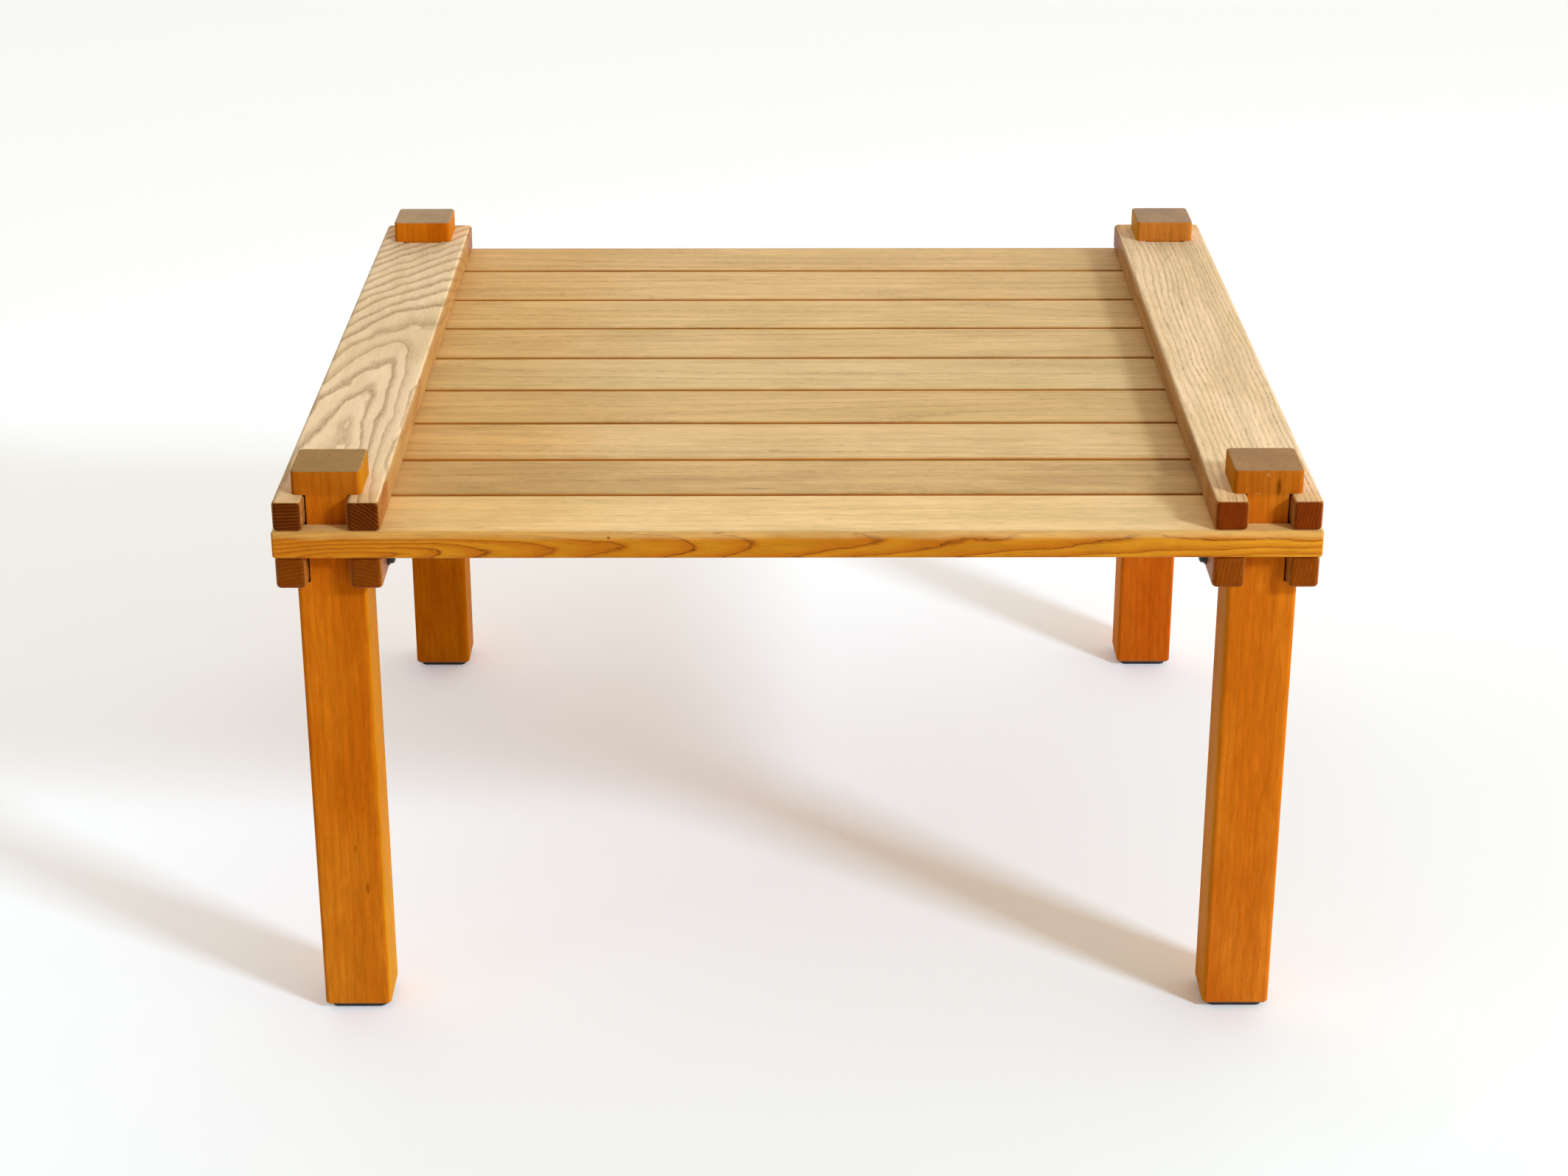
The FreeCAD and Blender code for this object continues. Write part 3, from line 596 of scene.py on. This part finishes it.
# Tones that the tops take on along their edges, and towards their ends, where the darkening is partly patina and
# partly painted shade beside the battens
EDGE_TONE, END_TONE = (0.80, 0.60, 0.34), (0.94, 0.86, 0.68)
OWN_EDGE_TONES = {"slat_front": (0.92, 0.82, 0.62), "slat_3": (0.84, 0.50, 0.17)}
OWN_END_TONES = {"slat_3": (0.90, 0.76, 0.52)}
EDGE_WIDTH = 0.0055


def front_board(colours, low, pale):
    """The front board, whose edge shows long arches round a pith that lies just behind it."""
    cut = figure(
        heart=(low.y + 0.0238, low.z + 0.0145), slope=(0.045, 0.037), bend=(-0.07, 0.0), width=0.0033,
        seed=1.0, wander=0.005, waves=0.004, ragged=0.0010, porous=0.12,
    )
    palette = bleached(colours, pale, colours.amber)
    palette.update(
        amber_line_share=0.8, amber_body_share=0.85, amber_fibre=0.08, amber_pore_share=0.7,
        amber_body=tinted(colours.amber, 0.80, 0.54, 0.3),
        amber_stains=(
            (beyond("x", -0.4, 0.55, 0.25), (1.14, 1.20, 1.4)),
            (beyond("x", 0.4, 0.55, 0.25), (1.0, 0.91, 0.7)),
        ),
        # A pale border down the top of the front edge: bleached wear, and partly a painted highlight along the
        # rounded edge.
        pale_border=beyond("z", low.z, 0.0145, 0.005),
    )
    return cut, palette


def plain_board(colours, low, middle, pale, index):
    """Any other board, cut from above the pith, with the log turned over for every second one."""
    turned = (-1) ** index
    cut = figure(
        heart=(middle + 0.03 * turned, low.z - 0.10 - 0.02 * (index % 3)), slope=(0.01 * turned, 0.012),
        width=0.0040, seed=index + 1.0, wander=0.010,
    )
    # The boards' sides take the gap colour, which paints in the shade inside the gaps.
    return cut, bleached(colours, pale, colours.gap)


def board_marks(colours, node, low, high):
    """The dark pore in the front edge and the two grey streaks on the boards behind it."""
    marks = {
        "slat_front": mark((-0.1435, low.y, 0.4216), (0.0022, 0.002, 0.0014), colours.amber_grain, 0.9),
        "slat_2": mark((-0.034, -0.2859, high.z), (0.026, 0.0022, 0.004), colours.grain, 0.7),
        "slat_3": mark((-0.0166, -0.2007, high.z), (0.009, 0.003, 0.004), colours.grain, 0.6),
    }
    return (marks[node],) if node in marks else ()


class LOWTABLE_OT_deck_boards(bpy.types.Operator):
    """Finish the nine deck boards, each cut from its own place in the log"""

    bl_idname = "low_table.deck_boards"
    bl_label = "Deck Boards"

    def execute(self, context):
        colours = context.scene.low_table_wood
        for index, (node, tone) in enumerate(BOARD_TONES.items()):
            low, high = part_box(node)
            middle, half = (low.y + high.y) / 2, (high.y - low.y) / 2
            pale = tinted(colours.deck, *tone)
            if node == "slat_front":
                cut, palette = front_board(colours, low, pale)
            else:
                cut, palette = plain_board(colours, low, middle, pale, index)
            # Darker towards the ends: partly patina, partly painted shade beside the battens.
            ends = beyond("x", 0.07, 0.18, 0.14, ragged=0.5)
            edges = beyond("y", middle, half - EDGE_WIDTH, EDGE_WIDTH, ragged=0.6)
            palette.update(
                end=scaled(colours.amber, 0.8), end_cloud=scaled(colours.amber, 0.65),
                end_line=colours.amber_grain,
                pale_stains=(
                    (ends, OWN_END_TONES.get(node, END_TONE)), (edges, OWN_EDGE_TONES.get(node, EDGE_TONE)),
                ),
            )
            if node == "slat_2":
                palette["pale_cloud"] = tinted(pale, 0.80, 0.78, 0.72)
            if node == "slat_rear":
                palette.update(side=colours.amber, side_cloud=tinted(colours.amber, 0.9, 0.8, 0.6),
                               side_axis=(0.0, 1.0, 0.0))
            dress(node, wood(f"ash_{node}", "x", cut, palette, board_marks(colours, node, low, high)))
        return {"FINISHED"}


# Battens


def upper_batten_palette(colours, pale, low, high):
    """What both upper battens have: sides darkened in the forks at their ends, which paints in the shade there, tops
    darker towards their ends, and darker edges.
    """
    middle, half = (low.x + high.x) / 2, (high.x - low.x) / 2
    palette = bleached(colours, pale, colours.batten_side)
    palette.update(
        amber_line_share=0.3, gloss=0.06,
        # Painted shade: the sides darken in the forks at the ends, where shade falls between the prongs.
        amber_stains=((beyond("y", 0.0, 0.318, 0.02), (0.80, 0.56, 0.36)),),
        pale_stains=(
            (beyond("y", 0.0, 0.335, 0.035), (0.92, 0.80, 0.62)),
            (beyond("x", middle, half - 0.003, 0.004, ragged=0.5), (0.93, 0.84, 0.68)),
        ),
    )
    return palette


class LOWTABLE_OT_upper_battens(bpy.types.Operator):
    """Finish the two battens over the boards: sweeping arches on the left, straight grain on the right"""

    bl_idname = "low_table.upper_battens"
    bl_label = "Upper Battens"

    def execute(self, context):
        colours = context.scene.low_table_wood
        low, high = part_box("upper_batten_left")
        middle = (low.x + high.x) / 2
        arched = figure(
            heart=(middle + 0.0145, high.z - 0.0298), slope=(0.163, -0.158), bend=(0.36, -0.21),
            width=0.0095, seed=11.0, radius=0.03, crowding=0.80, oval=0.72, oval_slope=1.15, wander=0.008,
            scale=4.0, waves=0.012, ragged=0.0026, porous=0.45, end_heart=(middle, high.z - 0.095),
            end_width=0.0024,
        )
        palette = upper_batten_palette(colours, colours.batten_left, low, high)
        palette.update(
            pale_line=tinted(colours.grain, 1.06, 0.98, 0.86), pale_line_share=0.56, pale_pore_share=0.25,
            pale_body_share=0.12, pale_fibre=0.03, pale_streak=0.03,
        )
        dress("upper_batten_left", wood("ash_upper_batten_left", "y", arched, palette))

        low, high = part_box("upper_batten_right")
        straight = figure(
            heart=(low.x - 0.16, low.z - 0.03), slope=(0.0, 0.0), width=0.0050, seed=23.0, radius=0.2,
            crowding=2.5, wander=0.022, scale=3.0, waves=0.003, ragged=0.0008, porous=0.45,
            end_heart=(high.x + 0.2, high.z - 0.05), end_width=0.003,
        )
        palette = upper_batten_palette(colours, colours.batten_right, low, high)
        palette.update(
            pale_line_share=0.34, pale_pore_share=0.45, end=tinted(colours.batten_end, 1.85, 1.65, 1.0),
            end_cloud=tinted(colours.batten_end, 1.5, 1.3, 1.0), end_line_share=0.3,
        )
        dress("upper_batten_right", wood("ash_upper_batten_right", "y", straight, palette))
        return {"FINISHED"}


class LOWTABLE_OT_lower_battens(bpy.types.Operator):
    """Finish the two battens under the boards"""

    bl_idname = "low_table.lower_battens"
    bl_label = "Lower Battens"

    def execute(self, context):
        colours = context.scene.low_table_wood
        for index, side in enumerate(SIDES):
            node = f"lower_batten_{side}"
            low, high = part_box(node)
            middle = (low.x + high.x) / 2
            if side == "left":
                end_heart, end = (middle, low.z - 0.12), colours.lower_end
            else:
                end_heart, end = (high.x + 0.2, high.z - 0.05), scaled(colours.lower_end, 1.25)
            cut = figure(
                heart=(middle, high.z + 0.05 + 0.04 * index), slope=(0.01, 0.01), width=0.0040,
                seed=31.0 + index, end_heart=end_heart, end_width=0.0032,
            )
            palette = oiled(colours, colours.lower_batten)
            palette.update(end=end, end_cloud=scaled(end, 0.85))
            dress(node, wood(f"ash_{node}", "y", cut, palette))
        return {"FINISHED"}


# Legs

# How much red, green and blue each leg's parts have of the legs' common colours. The foot tones are painted light,
# thrown up from the floor onto the lower legs. The side tones paint in the sheen of the inner sides, and the top
# tones paint in the sheen of the head tops.
LEG_TONES = {
    "front_left": {
        "faces": (1.01, 1.03, 1.6), "side": (0.96, 1.06, 0.6), "foot": (1.10, 1.26, 1.9),
        "head": (0.78, 0.81, 1.1), "top": (1.14, 1.20, 1.05),
    },
    "front_right": {
        "faces": (1.09, 1.13, 2.4), "side": (1.10, 1.22, 1.1), "foot": (0.98, 0.98, 1.35),
        "head": (0.73, 0.73, 0.85), "top": (1.18, 1.18, 1.25),
    },
    "rear_left": {
        "faces": (0.95, 1.03, 0.8), "side": (0.8, 0.8, 0.6), "foot": (1.05, 1.1, 1.0),
        "head": (1.11, 1.06, 1.8), "top": (1.40, 1.74, 2.46),
    },
    "rear_right": {
        "faces": (1.0, 0.84, 2.0), "side": (1.1, 1.0, 0.7), "foot": (1.0, 1.0, 1.0),
        "head": (0.95, 1.5, 3.6), "top": (1.28, 1.49, 2.18),
    },
}

# The plane of the front legs' front faces, and how far the heads' tones and the feet's painted floor light reach
LEG_FRONT = -0.361
PAINTED_FLOOR_LIGHT = beyond("z", 0.40, 0.20, 0.14, ragged=0.5)
HEAD_STAIN = beyond("z", 0.20, 0.245, 0.008, ragged=0.5)


def leg_marks(colours, corner):
    """A knot and two pale nicks on the right front leg's head, and dusty pores on the left front leg."""
    knot, dust = scaled(colours.leg_grain, 0.35), scaled(colours.leg_grain, 0.6)
    marks = {
        "front_right": (
            mark((0.3660, LEG_FRONT, 0.4560), (0.0024, 0.003, 0.0105), knot, 0.8),
            mark((0.3574, LEG_FRONT, 0.4662), (0.0018, 0.002, 0.0032), colours.deck, 0.22, ragged=1.2),
            mark((0.3499, LEG_FRONT, 0.4506), (0.0034, 0.002, 0.0012), colours.deck, 0.22, ragged=1.2),
        ),
        "front_left": (
            mark((-0.3448, LEG_FRONT, 0.1117), (0.0028, 0.003, 0.0075), dust, 0.6, ragged=1.4),
            mark((-0.3529, LEG_FRONT, 0.1478), (0.0020, 0.003, 0.0045), dust, 0.5, ragged=1.4),
        ),
    }
    return marks.get(corner, ())


class LOWTABLE_OT_legs(bpy.types.Operator):
    """Finish the four necked legs"""

    bl_idname = "low_table.legs"
    bl_label = "Legs"

    def execute(self, context):
        colours = context.scene.low_table_wood
        for index, corner in enumerate(CORNERS):
            node = f"leg_{corner}"
            low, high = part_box(node)
            tones = LEG_TONES[corner]
            inward = -1.0 if corner.endswith("right") else 1.0
            cut = figure(
                heart=((low.x + high.x) / 2 + 0.05, low.y + 0.11), slope=(0.0, 0.0), width=0.0032,
                seed=41.0 + index, wander=0.008, end_heart=(high.x + 0.02, low.y - 0.06), end_width=0.003,
            )
            leg = tinted(colours.leg, *tones["faces"])
            # The inner sides' colour and tones paint in the sheen that these sides show edge-on.
            side = tinted(colours.leg_side_with_sheen, *tones["side"])
            # The top tones are lighter and bluer, which paints in the sheen of the head tops that the low gloss
            # leaves out.
            top = tinted(colours.head_top, *tones["top"])
            palette = oiled(colours, leg)
            palette.update(
                amber_cloud=tinted(leg, 0.86, 0.74, 0.6), amber_fibre=0.12,
                amber_line=tinted(colours.leg_grain, *tones["faces"]), amber_line_share=0.09,
                amber_pore_share=0.16, amber_stains=((HEAD_STAIN, tones["head"]), (PAINTED_FLOOR_LIGHT, tones["foot"])),
                side=side, side_cloud=scaled(side, 0.9), side_axis=(inward, 0.0, 0.0),
                end=top, end_cloud=scaled(top, 0.9), end_line=scaled(top, 0.85), end_pore=scaled(top, 0.6),
                gloss=0.005,
            )
            dress(node, wood(f"ash_{node}", "z", cut, palette, leg_marks(colours, corner)))
        return {"FINISHED"}


# Pads and fittings


class LOWTABLE_OT_foot_pads(bpy.types.Operator):
    """Finish the pads under the legs"""

    bl_idname = "low_table.foot_pads"
    bl_label = "Foot Pads"

    def execute(self, context):
        pad = context.scene.low_table_metal.pad
        rubber = plain_finish(
            "foot_rubber", pad, roughness=0.85, metallic=0.0, wear=0.3, grit=1500.0, relief=0.6)
        for corner in CORNERS:
            dress(f"foot_pad_{corner}", rubber)
        return {"FINISHED"}


class LOWTABLE_OT_draw_bolts(bpy.types.Operator):
    """Finish the draw bolts and their washers"""

    bl_idname = "low_table.draw_bolts"
    bl_label = "Draw Bolts"

    def execute(self, context):
        blackened = context.scene.low_table_metal.blackened
        steel = plain_finish(
            "blackened_steel", blackened, roughness=0.42, metallic=0.6, wear=0.35, grit=900.0, relief=0.3)
        for corner in CORNERS:
            dress(f"draw_bolt_{corner}", steel)
            dress(f"bolt_washer_{corner}", steel)
        return {"FINISHED"}


class LOWTABLE_OT_hidden_fittings(bpy.types.Operator):
    """Finish the threaded inserts in the legs and the screws that hold the boards"""

    bl_idname = "low_table.hidden_fittings"
    bl_label = "Inserts and Screws"

    def execute(self, context):
        colours = context.scene.low_table_metal
        brass = plain_finish(
            "insert_brass", colours.brass, roughness=0.35, metallic=1.0, wear=0.2, grit=900.0, relief=0.3)
        steel = plain_finish(
            "screw_steel", colours.steel, roughness=0.38, metallic=1.0, wear=0.2, grit=900.0, relief=0.3)
        for corner in CORNERS:
            dress(f"threaded_insert_{corner}", brass)
        for side in SIDES:
            dress(f"slat_screws_{side}", steel)
        return {"FINISHED"}


# Stage

KEY_HUE, FILL_HUE = (0.61, 0.80, 1.0), (0.8, 0.9, 1.0)
LAMP_TARGET = (0.0, 0.0, 0.3)
ROOM_HUE = (1.0, 0.965, 0.81, 1.0)

# The height of a direction, as a share of its length, at which the walls go over into the ceiling
CEILING_EDGE = (0.15, 0.65)

FLOOR_RADIUS, FLOOR_SIDES = 9.0, 96

# The floor looks whiter with the distance from a place on the key lamp's side, and quite white at its rim
NEAR_PLACE = (1.39, -1.4, 0.0)
NEAR_HUE, FAR_HUE = (1.0, 0.74, 0.50, 1.0), (0.82, 0.84, 1.0, 1.0)
FAR_DISTANCES = (1.45, 2.65)
RIM_DISTANCES = (4.6, 8.0)

SENSOR_WIDTH = 36.0
CLIP_NEAR, CLIP_FAR = 0.05, 60.0


def seen_by_eye(tree):
    """1 for rays that show the background: straight from the camera, mirrored or through glass."""
    path = tree.node("ShaderNodeLightPath").outputs
    seen = tree.math("MAXIMUM", path["Is Camera Ray"], path["Is Glossy Ray"])
    return tree.math("MAXIMUM", seen, path["Is Transmission Ray"])


def build_world(stage):
    """A room that looks white, with light from its ceiling, its back and its right wall."""
    world = bpy.data.worlds.new("white_room")
    bpy.context.scene.world = world
    world.use_nodes = True
    world.node_tree.nodes.clear()
    tree = Tree(world.node_tree)
    across, back, up = tree.split(tree.node("ShaderNodeTexCoord").outputs["Generated"])

    def wall(direction, strength):
        facing = tree.math("POWER", tree.math("MAXIMUM", direction, 0.0), 2.0)
        return tree.math("MULTIPLY", facing, strength)

    walls = tree.math("ADD", wall(across, stage.right_strength), wall(back, stage.back_strength))
    high = tree.ramp(up, *CEILING_EDGE)
    low_light = tree.math("MULTIPLY", tree.math("SUBTRACT", 1.0, high), walls)
    strength = tree.math("ADD", tree.math("MULTIPLY", high, stage.ceiling_strength), low_light)
    light = tree.node("ShaderNodeBackground", {"Color": ROOM_HUE, "Strength": strength})
    shown = tree.node("ShaderNodeBackground", {"Color": WHITE, "Strength": 1.0})
    mixed = tree.node("ShaderNodeMixShader", {0: seen_by_eye(tree), 1: light.outputs[0], 2: shown.outputs[0]})
    tree.node("ShaderNodeOutputWorld", {"Surface": mixed.outputs[0]})


def floor_finish(stage):
    """White paper that gets whiter with distance, and isn't there for a camera under it."""
    made, tree, shader = new_material("floor_paper")
    shader.inputs["Base Color"].default_value = stage.floor
    shader.inputs["Roughness"].default_value = 0.9
    shader.inputs["Specular IOR Level"].default_value = 0.0
    place = tree.node("ShaderNodeTexCoord").outputs["Object"]
    distance = tree.vector("LENGTH", tree.vector("SUBTRACT", place, NEAR_PLACE), output="Value")
    near = scaled(NEAR_HUE, stage.floor_light)
    far = scaled(FAR_HUE, stage.floor_light + stage.floor_glow)
    light = tree.mix(tree.ramp(distance, *FAR_DISTANCES), near, far)
    rim = tree.ramp(tree.vector("LENGTH", place, output="Value"), *RIM_DISTANCES)
    tree.feed(shader.inputs["Emission Color"], tree.mix(rim, light, WHITE))
    seen = seen_by_eye(tree)
    tree.feed(shader.inputs["Emission Strength"], seen)
    clear = tree.node("ShaderNodeBsdfTransparent")
    below = tree.math("MULTIPLY", tree.node("ShaderNodeNewGeometry").outputs["Backfacing"], seen)
    mixed = tree.node("ShaderNodeMixShader", {0: below, 1: shader.outputs[0], 2: clear.outputs[0]})
    tree.node("ShaderNodeOutputMaterial", {"Surface": mixed.outputs[0]})
    return made


def build_floor(stage):
    """A round, flat floor."""
    turns = [2 * math.pi * i / FLOOR_SIDES for i in range(FLOOR_SIDES)]
    points = [(FLOOR_RADIUS * math.cos(turn), FLOOR_RADIUS * math.sin(turn), 0.0) for turn in turns]
    mesh = bpy.data.meshes.new("studio_floor")
    mesh.from_pydata(points, [], [tuple(range(FLOOR_SIDES))])
    mesh.materials.append(floor_finish(stage))
    floor = bpy.data.objects.new("studio_floor", mesh)
    bpy.context.scene.collection.objects.link(floor)


def build_lamp(name, power, size, place, hue):
    """A soft square lamp that looks at the middle of the table."""
    data = bpy.data.lights.new(name, "AREA")
    data.energy, data.size, data.color = power, size, hue
    lamp = bpy.data.objects.new(name, data)
    bpy.context.scene.collection.objects.link(lamp)
    lamp.location = place
    lamp.rotation_euler = (Vector(LAMP_TARGET) - Vector(place)).to_track_quat("-Z", "Y").to_euler()


def build_camera(stage):
    """A camera that looks down on the table from the front."""
    data = bpy.data.cameras.new("studio_camera")
    data.sensor_fit, data.sensor_width, data.lens = "HORIZONTAL", SENSOR_WIDTH, stage.lens
    data.clip_start, data.clip_end = CLIP_NEAR, CLIP_FAR
    camera = bpy.data.objects.new("studio_camera", data)
    bpy.context.scene.collection.objects.link(camera)
    pitch, yaw, roll = stage.camera_turn
    turn = Matrix.Rotation(-yaw, 4, "Z")
    turn = turn @ Matrix.Rotation(math.pi / 2 - pitch, 4, "X") @ Matrix.Rotation(roll, 4, "Z")
    camera.matrix_world = Matrix.Translation(stage.camera_place) @ turn
    bpy.context.scene.camera = camera


class LOWTABLE_OT_stage(bpy.types.Operator):
    """Set up the white room, the floor, the lamps and the camera"""

    bl_idname = "low_table.stage"
    bl_label = "Stage"

    def execute(self, context):
        stage = context.scene.low_table_stage
        context.scene.view_settings.view_transform = "Standard"
        build_world(stage)
        build_floor(stage)
        build_lamp("key_lamp", stage.key_power, stage.lamp_size, stage.key_place, KEY_HUE)
        build_lamp("fill_lamp", stage.fill_power, stage.lamp_size, stage.fill_place, FILL_HUE)
        build_camera(stage)
        return {"FINISHED"}


# Sidebar and registration


class LOWTABLE_PT_sidebar(bpy.types.Panel):
    """Every step of the table's finishing, in order"""

    bl_idname = "LOWTABLE_PT_sidebar"
    bl_label = "Low Table"
    bl_space_type = "VIEW_3D"
    bl_region_type = "UI"
    bl_category = "Low Table"

    def draw(self, context):
        for operator in OPERATORS:
            self.layout.operator(operator.bl_idname)
        for name in GROUPS:
            group = getattr(context.scene, name)
            box = self.layout.box()
            for key in group.bl_rna.properties.keys():
                if key not in ("rna_type", "name"):
                    box.prop(group, key)


GROUPS = {"low_table_wood": LowTableWood, "low_table_metal": LowTableMetal, "low_table_stage": LowTableStage}
OPERATORS = (
    LOWTABLE_OT_deck_boards, LOWTABLE_OT_upper_battens, LOWTABLE_OT_lower_battens, LOWTABLE_OT_legs,
    LOWTABLE_OT_foot_pads, LOWTABLE_OT_draw_bolts, LOWTABLE_OT_hidden_fittings, LOWTABLE_OT_stage,
)
CLASSES = (*GROUPS.values(), *OPERATORS, LOWTABLE_PT_sidebar)


def register():
    for item in CLASSES:
        bpy.utils.register_class(item)
    for name, group in GROUPS.items():
        setattr(bpy.types.Scene, name, bpy.props.PointerProperty(type=group))


def unregister():
    for name in GROUPS:
        delattr(bpy.types.Scene, name)
    for item in reversed(CLASSES):
        bpy.utils.unregister_class(item)


def main():
    register()
    bpy.ops.low_table.deck_boards()
    bpy.ops.low_table.upper_battens()
    bpy.ops.low_table.lower_battens()
    bpy.ops.low_table.legs()
    bpy.ops.low_table.foot_pads()
    bpy.ops.low_table.draw_bolts()
    bpy.ops.low_table.hidden_fittings()
    bpy.ops.low_table.stage()


if __name__ == "__main__":
    main()
